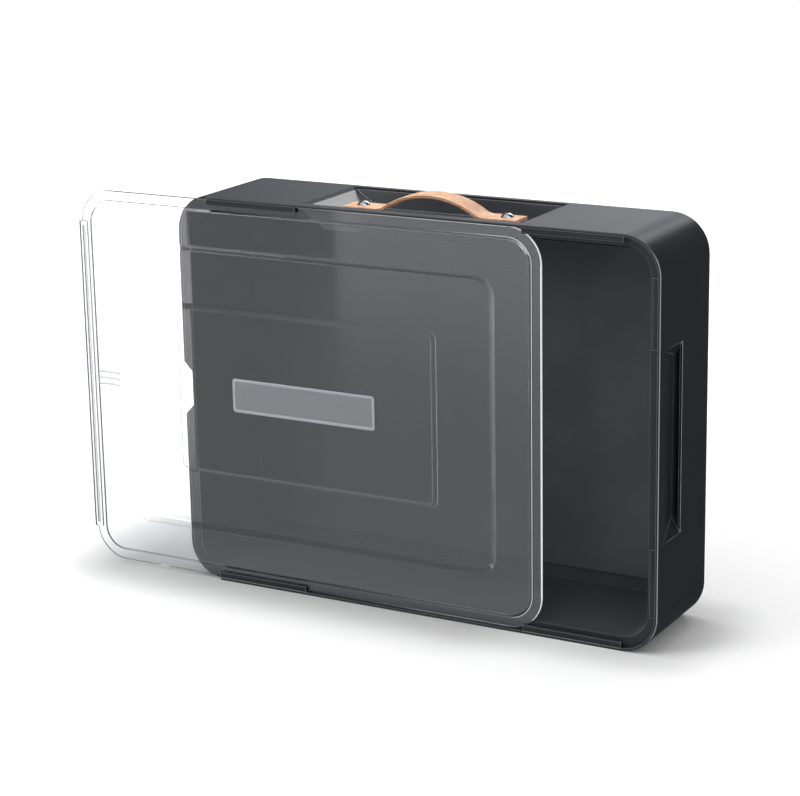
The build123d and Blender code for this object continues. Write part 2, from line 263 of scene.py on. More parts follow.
def mouldedPlastic(name, look, wall=None):
    finish = newFinish(name)
    flow = finish.noise(*moulding["flow"])
    grain = finish.noise(look["grain"], *moulding["grain"])
    pores = finish.noise(look["grain"] * moulding["poreSize"], *moulding["pores"])
    rounded = finish.bevel(look["edge"], moulding["bevelSamples"])
    x, y = finish.parts(finish.place(), "X", "Y")

    colour = finish.drifting(finish.ramp(flow, *moulding["flowSpread"]), look["colour"], look["drift"])
    # painted light: the plastic behind the rim is painted lighter, as if the inner walls were lit more
    inside = finish.blend(1.0, colour, grey(look["inside"]), "MULTIPLY")
    colour = finish.blend(finish.ramp(y, *moulding["rimBack"]), colour, inside)
    # painted light on the wall before the handle well
    if wall:
        colour = finish.blend(paintedWallLightShare(finish, wall), colour, grey(wall["grey"]))

    # painted highlights on the rounded edges, and painted shade on those that face down where their grey
    # is dark
    up = finish.part(rounded, "Z")
    edgeLight = finish.blend(
        finish.fall(up, *moulding["downward"]), grey(look["edgeHighlight"]), grey(look["under"]))
    behindGrip = finish.ramp(y, *moulding["gripFront"])
    atGrip = (finish.ramp(x, *moulding["gripLeft"]) * behindGrip
              * finish.fall(y, *moulding["gripBack"]))
    edgeLight = finish.blend(atGrip, edgeLight, grey(look["gripHighlight"]))
    facing = finish.vector("DOT_PRODUCT", rounded, finish.normal())
    colour = finish.blend(finish.ramp(1 - facing, *moulding["edgeTurn"]), colour, edgeLight)

    # a brighter painted highlight on the edges that face front and right
    slant = finish.vector("DOT_PRODUCT", rounded, moulding["slant"])
    slantHighlight = finish.blend(behindGrip, grey(look["slantHighlight"]), grey(look["gripHighlight"]))
    colour = finish.blend(finish.ramp(slant, *moulding["slantSpread"]), colour, slantHighlight)
    return finish.show(finish.surface({
        "Base Color": colour,
        "Roughness": look["roughness"] + (flow + grain - 1.0) * moulding["glossDrift"],
        "Specular IOR Level": look["sheen"],
        "Normal": finish.bump(
            moulding["relief"], look["depth"], grain + pores * moulding["poreDepth"], rounded),
    }))


# Clear door plastic: polished, frosted on the bare plate and satin where a thumb grips it
clearLook = {
    "colour": (0.955, 0.965, 0.975),
    "index": 1.49,
    "wiped": 0.992,       # what the wiped streaks leave of the colour
    "wipes": (0.05, 3.0, 0.55, (1.0, 1.0, 0.35)),   # size, detail, roughness and stretch of the streaks
    "wipeSpread": (0.35, 0.65),
    "marks": (0.0008, 2.0, 0.6, (1.0, 4.0, 1.0)),   # the same of the marks on the edges
    "polish": (0.02, 0.05),                         # roughness there, and what the marks add
    "satin": (0.4, 0.1),
    "grain": (0.0005, 2.0, 0.6),                    # of the frosted places
    "relief": 0.6,
    "depth": 0.00006,
    "drift": 0.08,
    "shade": 0.78,        # lamp light that passes the panel
    "thinMirror": 0.045,  # share that the straight-through slopes on the door's left mirror
    "thinRoughness": 0.01,
}
# satin shares of edges, which go from one value to the other between two places along X; their colours
# and glow are painted: dark lines of painted shade and light lines of painted highlight
paintedEdgeLooks = {
    # painted shade at the left end, painted highlight and glow at the right
    "sawnEdge": {
        "places": (-0.16, 0.02), "colours": (0.03, 0.95), "shares": (0.90, 0.80), "glow": 0.55},
    # painted highlights and glow along the creases on the right
    "outerCrease": {
        "places": (-0.02, 0.12), "colours": (0.5, 0.95), "shares": (0.0, 0.62), "glow": 0.45},
    "innerCrease": {
        "places": (0.018, 0.028), "colours": (0.5, 0.95), "shares": (0.0, 0.24), "glow": 0.35},
    # painted shade: a dark line along the top of the field's slope
    "upperCrease": {
        "places": (-0.24, -0.12), "colours": (0.03, 0.03), "shares": (0.0, 0.85), "glow": 0.0,
        "end": (0.10, 0.125)},   # where it goes back to nothing
    # painted highlight and glow round the lower right corner
    "footEdge": {
        "places": (-0.12, 0.06), "colours": (0.5, 0.9), "shares": (0.03, 0.20), "glow": 0.25},
    # painted shade: a dark line along the pull bar's left edge
    "pullEdge": {
        "places": (0.0, 0.1), "colours": (0.03, 0.03), "shares": (0.75, 0.75), "glow": 0.0},
}
frostLooks = {
    "plateRim": {"colour": (0.46, 0.475, 0.50), "share": 0.62, "roughness": 0.45},
    "plateField": {"colour": (0.27, 0.28, 0.30), "share": 0.55, "roughness": 0.60},
    "thumbGrip": {"colour": (0.22, 0.23, 0.25), "share": 0.42, "roughness": 0.25},
}


def clearGlass(finish, values):
    return finish.surface({
        "Base Color": tinted(clearLook["colour"]), "IOR": clearLook["index"],
        "Transmission Weight": 1.0, **values})


def lampsThrough(finish, surface):
    # lamp light passes the panel, as it does through thin clear plastic
    lamp = finish.node("ShaderNodeLightPath", output="Is Shadow Ray")
    film = finish.node("ShaderNodeBsdfTransparent", {}, [grey(clearLook["shade"])])
    return finish.show(finish.mixed(lamp, surface, film))


def clearPlastic():
    finish = newFinish("clearPlastic")
    streaks = finish.ramp(finish.noise(*clearLook["wipes"]), *clearLook["wipeSpread"])
    colour = finish.blend(
        streaks, tinted(clearLook["colour"], clearLook["wiped"]), tinted(clearLook["colour"]))
    return lampsThrough(finish, clearGlass(finish, {"Base Color": colour, "Roughness": 0.0}))


def thinPlastic():
    # slopes so slight that light goes straight through them
    finish = newFinish("thinPlastic")
    return finish.show(finish.surface({
        "Base Color": tinted(clearLook["colour"]), "Metallic": 1.0,
        "Roughness": clearLook["thinRoughness"], "Alpha": clearLook["thinMirror"]}))


def paintedEdgePlastic(name):
    # an edge that is satin for a share, with painted shade and painted highlight in its colour along X,
    # and a painted glow for the light that it gathers inside the panel
    look = paintedEdgeLooks[name]
    finish = newFinish(name)
    marks = finish.noise(*clearLook["marks"])
    along = finish.part(finish.place(), "X")
    right = finish.ramp(along, *look["places"])
    if "end" in look:
        right = right * finish.fall(along, *look["end"])
    (smooth, scratched), (dull, scuffed) = clearLook["polish"], clearLook["satin"]
    dark, light = look["colours"]
    satin = finish.surface({
        "Base Color": finish.blend(right, grey(dark), grey(light)),
        "Roughness": dull + marks * scuffed,
        # painted glow
        "Emission Color": finish.blend(right, grey(0.0), grey(1.0)),
        "Emission Strength": look["glow"],
    })
    glass = clearGlass(finish, {"Roughness": smooth + marks * scratched})
    return lampsThrough(finish, finish.mixed(between(right, *look["shares"]), glass, satin))


def frostedPlastic(name):
    look = frostLooks[name]
    finish = newFinish(name)
    grain = finish.noise(*clearLook["grain"])
    shared = {
        "Roughness": look["roughness"],
        "Normal": finish.bump(clearLook["relief"], clearLook["depth"], grain),
    }
    frost = finish.surface({
        "Base Color": finish.drifting(grain, look["colour"], clearLook["drift"]), **shared})
    return lampsThrough(finish, finish.mixed(look["share"], clearGlass(finish, shared), frost))


# Vegetable-tanned strap leather with raw, layered edges
leatherLook = {
    "face": (0.62, 0.345, 0.205),
    "pale": (0.80, 0.50, 0.335),
    "streak": (0.36, 0.185, 0.10),
    "edge": (0.47, 0.245, 0.135),
    "rawShade": 0.62,                                    # dark fibres of the raw edges
    "clouds": (0.014, 4.0, 0.65),                        # size, detail, roughness and stretch
    "creases": (0.006, 4.0, 0.65, (0.45, 1.0, 1.0)),
    "streaks": (0.0024, 3.0, 0.6, (0.16, 1.0, 0.6)),
    "fibres": (0.0011, 3.0, 0.7, (0.10, 1.0, 1.6)),
    "poreSize": 0.0009,
    "cloudSpread": (0.36, 0.64),
    "streakSpread": (0.50, 0.72, 0.0, 0.62),
    "creaseSpread": (0.52, 0.8, 0.0, 0.4),
    "fibreSpread": (0.40, 0.62),
    "rawSlant": (0.55, 0.9),                             # Y of the normal of the raw edges
    "heights": {"pores": 0.6, "creases": 0.9, "streaks": 0.8, "fibres": 1.4},
    "relief": 0.6,
    "depth": 0.0003,
    "roughness": 0.56,
    "rawRoughness": 0.18,                                # more on the raw edges
    "creaseRoughness": 0.15,                             # and in the creases
    "sheen": 0.4,
}


def strapLeather():
    look = leatherLook
    finish = newFinish("strapLeather")
    cloud = finish.noise(*look["clouds"])
    crease = finish.noise(*look["creases"])
    streak = finish.noise(*look["streaks"])
    fibre = finish.noise(*look["fibres"])
    pores = finish.node("ShaderNodeTexVoronoi", {}, {
        "Vector": finish.place(), "Scale": 1 / look["poreSize"]})
    facing = finish.part(finish.normal(), "Y")
    side = finish.ramp(facing.maths("ABSOLUTE", facing), *look["rawSlant"])

    skin = finish.blend(
        finish.ramp(cloud, *look["cloudSpread"]), tinted(look["face"]), tinted(look["pale"]))
    skin = finish.blend(finish.ramp(streak, *look["streakSpread"]), skin, tinted(look["streak"]))
    skin = finish.blend(finish.ramp(crease, *look["creaseSpread"]), skin, tinted(look["edge"]))
    raw = finish.blend(
        finish.ramp(fibre, *look["fibreSpread"]), tinted(look["edge"], look["rawShade"]),
        tinted(look["face"]))
    heights = look["heights"]
    height = (pores * heights["pores"] + crease * heights["creases"]
              + streak * heights["streaks"] + fibre * side * heights["fibres"])
    rougher = side * look["rawRoughness"] + (crease - 0.5) * look["creaseRoughness"]
    return finish.show(finish.surface({
        "Base Color": finish.blend(side, skin, raw),
        "Roughness": look["roughness"] + rougher,
        "Specular IOR Level": look["sheen"],
        "Normal": finish.bump(look["relief"], look["depth"], height),
    }))


# Metals
metalLooks = {
    "bolt_chrome": {"colour": (0.80, 0.81, 0.83), "roughness": 0.07, "marks": 0.004, "spread": 0.05,
                    "paintedShade": 0.09},  # painted shade: what is left of the colour on the side that faces the strap's dark front
    "insert_brass": {"colour": (0.62, 0.47, 0.22), "roughness": 0.28, "marks": 0.0006, "spread": 0.12},
    "screw_steel": {"colour": (0.10, 0.10, 0.11), "roughness": 0.38, "marks": 0.0009, "spread": 0.15},
}
turning = {
    "marks": (3.0, 0.6),
    "drift": 0.06,
    "edge": 0.0003,
    "bevelSamples": 6,
    "paintedShadeSlant": (-0.40, -0.12),     # Y of the rounded normal
}


def metal(name):
    look = metalLooks[name]
    finish = newFinish(name)
    marks = finish.noise(look["marks"], *turning["marks"])
    rounded = finish.bevel(turning["edge"], turning["bevelSamples"])
    colour = finish.drifting(marks, look["colour"], turning["drift"])
    # painted shade on the side that faces front
    if "paintedShade" in look:
        facing = finish.part(rounded, "Y")
        colour = finish.blend(
            finish.fall(facing, *turning["paintedShadeSlant"]), colour, tinted(look["colour"], look["paintedShade"]))
    return finish.show(finish.surface({
        "Base Color": colour,
        "Metallic": 1.0,
        "Roughness": look["roughness"] + marks * look["spread"],
        "Normal": rounded,
    }))


finishes = {
    "case_plastic": mouldedPlastic("shellPlastic", shellLook),
    "liner_plastic": mouldedPlastic("linerPlastic", linerLook, wallPaintedLight),
    "panel": mouldedPlastic("panelPlastic", panelLook),
    "tray": mouldedPlastic("trayPlastic", trayLook),
    "strap_leather": strapLeather(),
    "clear_plastic": clearPlastic(),
    "thinSlope": thinPlastic(),
}
for looks, make in ((metalLooks, metal), (paintedEdgeLooks, paintedEdgePlastic), (frostLooks, frostedPlastic)):
    for name in looks:
        finishes[name] = make(name)
ownFinish = {"back_panel": "panel", "handle_tray": "tray"}
for part in frame["record"]["subparts"]:
    slots = nodes[part["node"]].data.materials
    slots.clear()
    slots.append(finishes[ownFinish.get(part["node"], part["material_slot"])])
print("finishes made:", len(finishes))


def newPiece(name, mesh, body, materials):
    piece = bpy.data.objects.new(name, mesh)
    bpy.context.collection.objects.link(piece)
    for material in materials:
        mesh.materials.append(material)
    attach(piece, body)
    return piece


def meshData(mesh, name):
    data = bpy.data.meshes.new(name)
    mesh.to_mesh(data)
    mesh.free()
    return data


def applied(piece):
    # the mesh with its modifiers worked in
    mesh = bpy.data.meshes.new_from_object(
        piece.evaluated_get(bpy.context.evaluated_depsgraph_get()))
    piece.modifiers.clear()
    piece.data = mesh
    return piece


def combined(piece, mesh, operation):
    # a piece with a closed mesh united into it or cut out of it
    tool = bpy.data.objects.new("tool", mesh)
    bpy.context.collection.objects.link(tool)
    change = piece.modifiers.new("change", "BOOLEAN")
    change.operation = operation
    change.solver = "EXACT"
    change.object = tool
    bpy.context.view_layer.update()
    applied(piece)
    bpy.data.objects.remove(tool)


def softEdges(piece, sharpAngle):
    # smooth shading up to an angle in degrees, with flat faces kept flat
    mesh = bmesh.new()
    mesh.from_mesh(piece.data)
    bmesh.ops.recalc_face_normals(mesh, faces=mesh.faces)
    for face in mesh.faces:
        face.smooth = True
    for edge in mesh.edges:
        edge.smooth = len(edge.link_faces) == 2 and edge.calc_face_angle() < math.radians(sharpAngle)
    mesh.to_mesh(piece.data)
    mesh.free()
    weights = piece.modifiers.new("flatFaces", "WEIGHTED_NORMAL")
    weights.keep_sharp = True
    applied(piece)


def closedRings(rings, name):
    # a closed skin over rings with the same number of points each
    mesh = bmesh.new()
    rows = [[mesh.verts.new(point) for point in ring] for ring in rings]
    count = len(rows[0])
    for near, far in zip(rows, rows[1:]):
        for index in range(count):
            after = (index + 1) % count
            mesh.faces.new((near[index], near[after], far[after], far[index]))
    mesh.faces.new(rows[0])
    mesh.faces.new(rows[-1])
    bmesh.ops.recalc_face_normals(mesh, faces=mesh.faces)
    return meshData(mesh, name)


def roundedRing(centre, halfLength, halfHeight, radius, y, steps=10):
    # points round a rounded rectangle that stands at one distance from the front
    ring = []
    for quarter in range(4):
        cornerX = centre[0] + (halfLength - radius) * (1, -1, -1, 1)[quarter]
        cornerZ = centre[1] + (halfHeight - radius) * (1, 1, -1, -1)[quarter]
        for step in range(steps + 1):
            angle = math.pi / 2 * (quarter + step / steps)
            ring.append((cornerX + radius * math.cos(angle), y, cornerZ + radius * math.sin(angle)))
    return ring


def softRamp(run, rise, bend, steps=4):
    # (way in, way up) pairs of a slope with a round bend at its foot and at its top
    slope = math.atan2(rise, run)
    reach = bend * math.tan(slope / 2)
    turns = [slope * step / steps for step in range(steps + 1)]
    foot = [(bend * math.sin(turn) - reach, bend * (1 - math.cos(turn))) for turn in turns]
    top = [(run - inward, rise - up) for inward, up in reversed(foot)]
    return foot + top


def quarterRound(radius, steps):
    # (way in, way back) pairs of a rounded edge, from its side to its face
    turns = [math.pi / 2 * step / steps for step in range(steps + 1)]
    return [(radius * (1 - math.cos(turn)), radius * (1 - math.sin(turn))) for turn in turns]


# Clear door: a stepped panel with a pull bar, thumb ribs and a frosted plate
door = {
    "overhang": 0.0018,     # of the pull bar past the panel's left edge
    "thickness": 0.0028,
    "corner": 0.0331,
    "edge": 0.0006,
    "edgeSteps": 4,
    "border": 0.0098,
    "fieldSlope": 0.0024,
    "rise": 0.0026,
    "sunk": (0.406, 0.285, 0.020, 0.0058),          # length, height, corner, width of its slope
    "raised": (0.285, 0.1685, 0.008, 0.0046),
    "plate": (0.1565, 0.0335, 0.0036, 0.0004),
    "plateRise": 0.0005,
    "plateRim": 0.0026,
    "plateDip": ((0.0, 0.0), (0.0001, 0.00004), (0.0003, 0.00026), (0.0004, 0.0003)),
    "fieldBend": 0.0010,
    "bend": 0.0020,
    "plateBend": 0.0003,
    "sharpAngle": 32,       # degrees
}
pull = {
    "length": 0.3135,
    "width": 0.0092,
    "rise": 0.0022,
    "foot": 0.0002,         # before the panel's back
    "corner": 0.0012,
    "edge": 0.0005,
    "edgeSteps": 3,
    "channel": 0.0032,
    "channelInset": 0.0036,
    "channelEnd": 0.004,
    "channelLip": 0.0003,
    "channelSink": 0.0016,
    "channelTip": 0.0001,   # of straight edge that is left at the channel's round ends
}
ribs = {
    "count": 3,
    "length": 0.0255,
    "pitch": 0.0061,
    "inset": 0.0146,        # from the pull bar's outside
    "bow": 0.0009,
    "radius": 0.0013,
    "rise": 0.0007,
    "blunt": 0.03,          # least share of the section, at the ends
    "steps": 26,
    "sides": 16,
}


def panelMesh(centre, frontY, high):
    border = door["border"]
    outline = (2 * (high.x - centre[0]), 2 * (high.z - centre[1]), door["corner"])
    field = (outline[0] - 2 * border, outline[1] - 2 * border, outline[2] - border, door["fieldSlope"])

    def ring(length, height, radius, inset, y):
        return roundedRing(centre, length / 2 - inset, height / 2 - inset, radius - inset, y)

    def slope(shape, y, rise, bend):
        # rings of a slope that rises to the front or, with a rise below 0, sinks to the back
        *rectangle, width = shape
        return [ring(*rectangle, inset, y - math.copysign(up, rise))
                for inset, up in softRamp(width, abs(rise), bend)]

    def face(borderY):
        # rings from the panel's edge to its middle
        fieldY = borderY - door["rise"]
        return (slope(field, borderY, door["rise"], door["fieldBend"])
                + slope(door["sunk"], fieldY, -door["rise"], door["bend"])
                + slope(door["raised"], borderY, door["rise"], door["bend"]))

    plateFoot = frontY - door["rise"]
    plateTop = plateFoot - door["plateRise"]
    rectangle = door["plate"][:-1]
    plate = slope(door["plate"], plateFoot, door["plateRise"], door["plateBend"])
    plate += [ring(*rectangle, door["plateRim"] + inset, plateTop + down)
              for inset, down in door["plateDip"]]
    lip = quarterRound(door["edge"], door["edgeSteps"])
    frontLip = [ring(*outline, inset, frontY + back) for inset, back in reversed(lip)]
    rearLip = [ring(*outline, inset, high.y - back) for inset, back in lip]
    rings = plate[::-1] + face(frontY)[::-1] + frontLip + rearLip + face(high.y)
    return closedRings(rings, "doorPanel")


def pullMesh(left, middleZ, frontY, backY):
    centre = (left + pull["width"] / 2, middleZ)
    channelX = left + pull["channelInset"] + pull["channel"] / 2
    topY = frontY - pull["rise"]
    half = (pull["width"] / 2, pull["length"] / 2, pull["corner"])
    rings = [roundedRing(centre, *half, backY)]
    for inset, back in quarterRound(pull["edge"], pull["edgeSteps"]):
        rings.append(roundedRing(centre, *(side - inset for side in half), topY + back))
    halfWidth, halfLength = pull["channel"] / 2, pull["length"] / 2 - pull["channelEnd"]
    lip = pull["channelLip"]
    for inset, down in ((0.0, 0.0), (lip, lip), (lip, pull["channelSink"])):
        rings.append(roundedRing(
            (channelX, middleZ), halfWidth - inset, halfLength - inset,
            halfWidth - inset - pull["channelTip"], topY + down))
    return closedRings(rings, "doorPull")


def ribMesh(startX, middleZ, y):
    # a bowed round bar with rounded ends, half sunk in the panel
    half = ribs["length"] / 2
    turns = [2 * math.pi * side / ribs["sides"] for side in range(ribs["sides"])]
    rings = []
    for step in range(ribs["steps"] + 1):
        along = -math.cos(math.pi * step / ribs["steps"])
        past = max(0.0, abs(along * half) - (half - ribs["radius"])) / ribs["radius"]
        radius = ribs["radius"] * math.sqrt(max(1 - past * past, ribs["blunt"]))
        z = middleZ + ribs["bow"] * (1 - along * along)
        x = startX + half + along * half
        rings.append([(x, y + radius * math.cos(turn), z + radius * math.sin(turn)) for turn in turns])
    return closedRings(rings, "doorRib")


# the door's finishes, in the order of its material slots
doorFinishes = (
    "clear_plastic", "sawnEdge", "plateRim", "plateField", "thumbGrip", "outerCrease",
    "innerCrease", "upperCrease", "pullEdge", "thinSlope", "footEdge")
# how far its finishes reach from the lines of its shape
finishReach = {
    "edge": 0.9,                # share of the edge's rounding
    "foot": 0.3,                # share of the corner
    "play": 0.0001,             # a face's middle off its plane
    "plateRim": 0.0003,         # past the rim's inner line
    "rib": 0.00005,             # above the field
    "channel": 0.0003,          # below the pull bar's face
    "outerCrease": 0.0009,      # before the border's inner line
    "innerCrease": ((0.0, 0.0006), (0.0039, 0.0047)),   # inside the raised rectangle's outline
    "upperCrease": (0.0004, 0.0008),    # before and behind the field's slope
    "slope": 0.0012,            # behind the slopes of the rectangles
}


def depthIn(x, z, length, height, radius):
    # how far a place lies inside a rounded rectangle's outline
    return radius - math.hypot(max(0, x - length / 2 + radius), max(0, z - height / 2 + radius))


def doorFinish(spot, low, high, centre, frontY):
    # the finish of the door at a spot
    x, z = abs(spot.x - centre[0]), abs(spot.z - centre[1])
    fieldY = frontY - door["rise"]
    right = spot.x > centre[0]
    frontRight = right and spot.y < frontY + finishReach["play"]
    foot = right and spot.z < low.z + door["corner"] * finishReach["foot"]
    outer = depthIn(x, z, 2 * (high.x - centre[0]), 2 * (high.z - centre[1]), door["corner"])
    *raisedShape, raisedSlope = door["raised"]
    *sunkShape, sunkSlope = door["sunk"]
    raised, sunk = depthIn(x, z, *raisedShape), depthIn(x, z, *sunkShape)

    overPlate = max(x - door["plate"][0] / 2, z - door["plate"][1] / 2)
    if overPlate < 0 and spot.y < fieldY - finishReach["play"]:
        inField = overPlate < -door["plateRim"] - finishReach["plateRim"]
        return "plateField" if inField else "plateRim"

    if outer < door["edge"] * finishReach["edge"] and spot.x > low.x + pull["width"]:
        return "footEdge" if foot else "sawnEdge"

    ribLeft = low.x + ribs["inset"]
    ribHalf = (ribs["count"] - 1) / 2 * ribs["pitch"] + ribs["bow"] + ribs["radius"]
    onRibs = (z < ribHalf and ribLeft < spot.x < ribLeft + ribs["length"]
              and spot.y < fieldY - finishReach["rib"])
    channelLeft = low.x + pull["channelInset"]
    inChannel = (z < pull["length"] / 2 and channelLeft < spot.x < channelLeft + pull["channel"]
                 and frontY - pull["rise"] + finishReach["channel"] < spot.y < frontY)
    if onRibs or inChannel:
        return "thumbGrip"

    if frontRight and door["border"] - finishReach["outerCrease"] < outer < door["border"]:
        return "footEdge" if foot else "outerCrease"
    if frontRight and any(near < raised < far for near, far in finishReach["innerCrease"]):
        return "innerCrease"
    before, behind = finishReach["upperCrease"]
    if (spot.y < frontY + finishReach["play"] and spot.z > high.z - door["corner"]
            and door["border"] - before < outer < door["border"] + door["fieldSlope"] + behind):
        return "upperCrease"
    if spot.x < low.x + pull["edge"]:
        return "pullEdge"

    onSunk = 0 < sunk < sunkSlope + finishReach["slope"]
    onRaised = (0 < raised < raisedSlope + finishReach["slope"]
                and x - raisedShape[0] / 2 > z - raisedShape[1] / 2)
    if spot.x < centre[0] and (onSunk or onRaised):
        return "thinSlope"
    return "clear_plastic"


def slidingDoor():
    low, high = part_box("sliding_door")
    centre = ((low.x + door["overhang"] + high.x) / 2, (low.z + high.z) / 2)
    frontY = high.y - door["thickness"]
    piece = newPiece("clearDoor", panelMesh(centre, frontY, high), "door",
                     [finishes[name] for name in doorFinishes])
    combined(piece, pullMesh(low.x, centre[1], frontY, high.y - pull["foot"]), "UNION")
    ribY = frontY - door["rise"] + ribs["radius"] - ribs["rise"]
    for index in range(ribs["count"]):
        z = centre[1] + (index - (ribs["count"] - 1) / 2) * ribs["pitch"]
        combined(piece, ribMesh(low.x + ribs["inset"], z, ribY), "UNION")
    softEdges(piece, door["sharpAngle"])
    for face in piece.data.polygons:
        face.material_index = doorFinishes.index(doorFinish(face.center, low, high, centre, frontY))
    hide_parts("sliding_door")
    return piece


clearDoor = slidingDoor()
print("door made:", len(clearDoor.data.polygons), "faces")

# Leather strap: flat ends, reverse bends and a round arch
strap = {
    "flat": 0.034,
    "rise": 0.0165,
    "bend": 0.014,
    "thickness": 0.0032,
    "corner": 0.002,
    "edge": 0.0009,
    "crown": 0.00025,
    "boltHole": 0.0027,
    "boltSpacing": 0.150,
    "spacing": 0.0012,      # of the sections on the flat ends
    "bendSteps": 8,
    "archSteps": 40,
    "acrossSteps": 10,
    "cornerSteps": 4,
    "holeSides": 32,
    "sharpAngle": 50,       # degrees
}


def strapPath(low, high):
    # (x, z, lean) along the strap's upper side, lean being the slope's angle
    span = high.x - strap["flat"]
    top = low.z + strap["thickness"]
    bothRadii = (span ** 2 + strap["rise"] ** 2) / (2 * strap["rise"])
    archRadius = bothRadii - strap["bend"]
    bendZ = top + strap["bend"]
    archZ = top + strap["rise"] - archRadius
    lean = math.atan2(span, bendZ - archZ)
    half = []
    for step in range(int(strap["flat"] / strap["spacing"])):
        half.append((low.x + step * strap["spacing"], top, 0.0))
    for step in range(strap["bendSteps"] + 1):
        turn = lean * step / strap["bendSteps"]
        x, z = strap["bend"] * math.sin(turn) - span, bendZ - strap["bend"] * math.cos(turn)
        half.append((x, z, turn))
    for step in range(1, strap["archSteps"] + 1):
        turn = lean * (1 - step / strap["archSteps"])
        half.append((-archRadius * math.sin(turn), archZ + archRadius * math.cos(turn), turn))
    mirrored = [(-x, z, -turn) for x, z, turn in reversed(half[:-1])]
    return half + mirrored


def strapSection(x, z, lean, middleY, width):
    # a rounded section, square to the path, with a slightly domed skin side
    edge, crown, thickness = strap["edge"], strap["crown"], strap["thickness"]
    flat = width / 2 - edge
    upper, lower = -edge - crown, edge - thickness

    def corner(start, side, middle):
        # the points between the ends of a round corner, clockwise from an angle
        steps = strap["cornerSteps"]
        turns = [start - math.pi / 2 * step / steps for step in range(1, steps)]
        return [(side * flat + edge * math.cos(turn), middle + edge * math.sin(turn)) for turn in turns]

    across = [2 * step / strap["acrossSteps"] - 1 for step in range(strap["acrossSteps"] + 1)]
    points = [(share * flat, -crown * share ** 4) for share in across]
    points += corner(math.pi / 2, 1, upper) + corner(0.0, 1, lower)
    points += [(share * flat, -thickness) for share in reversed(across)]
    points += corner(-math.pi / 2, -1, lower) + corner(math.pi, -1, upper)
    normal = Vector((-math.sin(lean), 0, math.cos(lean)))
    return [Vector((x, middleY + side, z)) + normal * up for side, up in points]


def boltPunch(place):
    hole = bmesh.new()
    bmesh.ops.create_cone(
        hole, cap_ends=True, segments=strap["holeSides"], radius1=strap["boltHole"],
        radius2=strap["boltHole"], depth=4 * strap["thickness"])
    bmesh.ops.translate(hole, verts=hole.verts, vec=place)
    return meshData(hole, "punch")


def leatherStrap():
    low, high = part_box("leather_strap")
    middleY = (low.y + high.y) / 2
    rings = []
    for x, z, lean in strapPath(low, high):
        past = max(0.0, strap["corner"] - (high.x - abs(x)))
        narrow = strap["corner"] - math.sqrt(max(strap["corner"] ** 2 - past ** 2, 0.0))
        rings.append(strapSection(x, z, lean, middleY, high.y - low.y - 2 * narrow))
    piece = newPiece("leatherStrap", closedRings(rings, "leatherStrap"), "case",
                     [finishes["strap_leather"]])
    for side in (-1, 1):
        combined(piece, boltPunch((
            side * strap["boltSpacing"] / 2, middleY, low.z + strap["thickness"] / 2)), "DIFFERENCE")
    softEdges(piece, strap["sharpAngle"])
    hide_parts("leather_strap")
    return piece


leather = leatherStrap()
print("strap made:", len(leather.data.polygons), "faces")

# Camera, from the lines of the case in the photograph
camera = {
    "place": (1.02574, -1.90098, 0.79260),
    "turn": 29.2636,      # degrees that it looks to the left of the case's depth
    "down": 15.3988,
    "roll": -1.0608,
    "focalPixels": 2381.13,
    "framePixels": 800,
    "sensor": 36.0,
    "far": 100,
}


def setCamera():
    data = bpy.data.cameras.new("camera")
    data.sensor_fit = "HORIZONTAL"
    data.sensor_width = camera["sensor"]
    data.lens = camera["sensor"] * camera["focalPixels"] / camera["framePixels"]
    data.clip_end = camera["far"]
    eye = bpy.data.objects.new("camera", data)
    turn, down = math.radians(camera["turn"]), math.radians(camera["down"])
    look = Vector((-math.sin(turn) * math.cos(down), math.cos(turn) * math.cos(down), -math.sin(down)))
    roll = Quaternion((0, 0, 1), math.radians(camera["roll"]))
    eye.rotation_mode = "QUATERNION"
    eye.rotation_quaternion = look.to_track_quat("-Z", "Y") @ roll
    eye.location = camera["place"]
    bpy.context.collection.objects.link(eye)
    bpy.context.scene.camera = eye


# Studio: white floor and surroundings, soft lamps
studio = {
    "floorSize": 60.0,
    "floorShade": 0.84,
    # the floor's added white is kept low next to the case, which paints a shadow round it
    "nearGlow": 0.03,     # added white of the floor at the case
    "openGlow": 0.26,     # a hand's width away from it
    "farGlow": 0.34,      # and more beyond the lamps
    "contact": 0.36,      # painted shadow under the open door and before the case's left half
    "ambient": 0.56,
    "insideTurns": (2.5, 3.5),    # ray depths after one and after two turns inside the clear plastic
    "insideFirst": 0.50,  # light kept after one turn
    "insideRest": 0.04,   # and after more
    "glossTint": (0.945, 0.975, 1.02, 1.0),
    "frontGloss": 1.36,   # what the door mirrors left of the lit strip of floor
    "litGloss": 2.62,     # and on that strip
    "leftGloss": 4.0,     # what the case's left rim mirrors
    "nearGloss": 1.5,     # what the door's downward slopes mirror, at its foot
    "behindGloss": 0.10,  # what the case's right side mirrors
    "skyFront": 1.65,     # what a gloss sees above the floor before the case
    "skyHigh": 5.0,       # higher up there
    "skySpot": 8.0,       # the lamp up there on the right
    "skyLeft": 0.20,      # behind the case, on the left
    "skyMiddle": 1.65,    # straight behind it
    "skyRight": 0.13,     # and on the right
    "lamps": {
        "overhead": {"place": (-0.6, -0.1, 2.4), "aim": (0, 0, 0.1), "size": (2.4, 1.8),
                     "power": 28, "mirrored": True},
        "frontLeft": {"place": (-1.9, -2.2, 1.5), "aim": (0, 0, 0.2), "size": (1.4, 1.4),
                      "power": 43, "mirrored": False},
        "behind": {"place": (0.25, 2.4, 1.9), "aim": (0, 0, 0.38), "size": (0.6, 0.7),
                   "power": 8, "mirrored": True},
    },
}
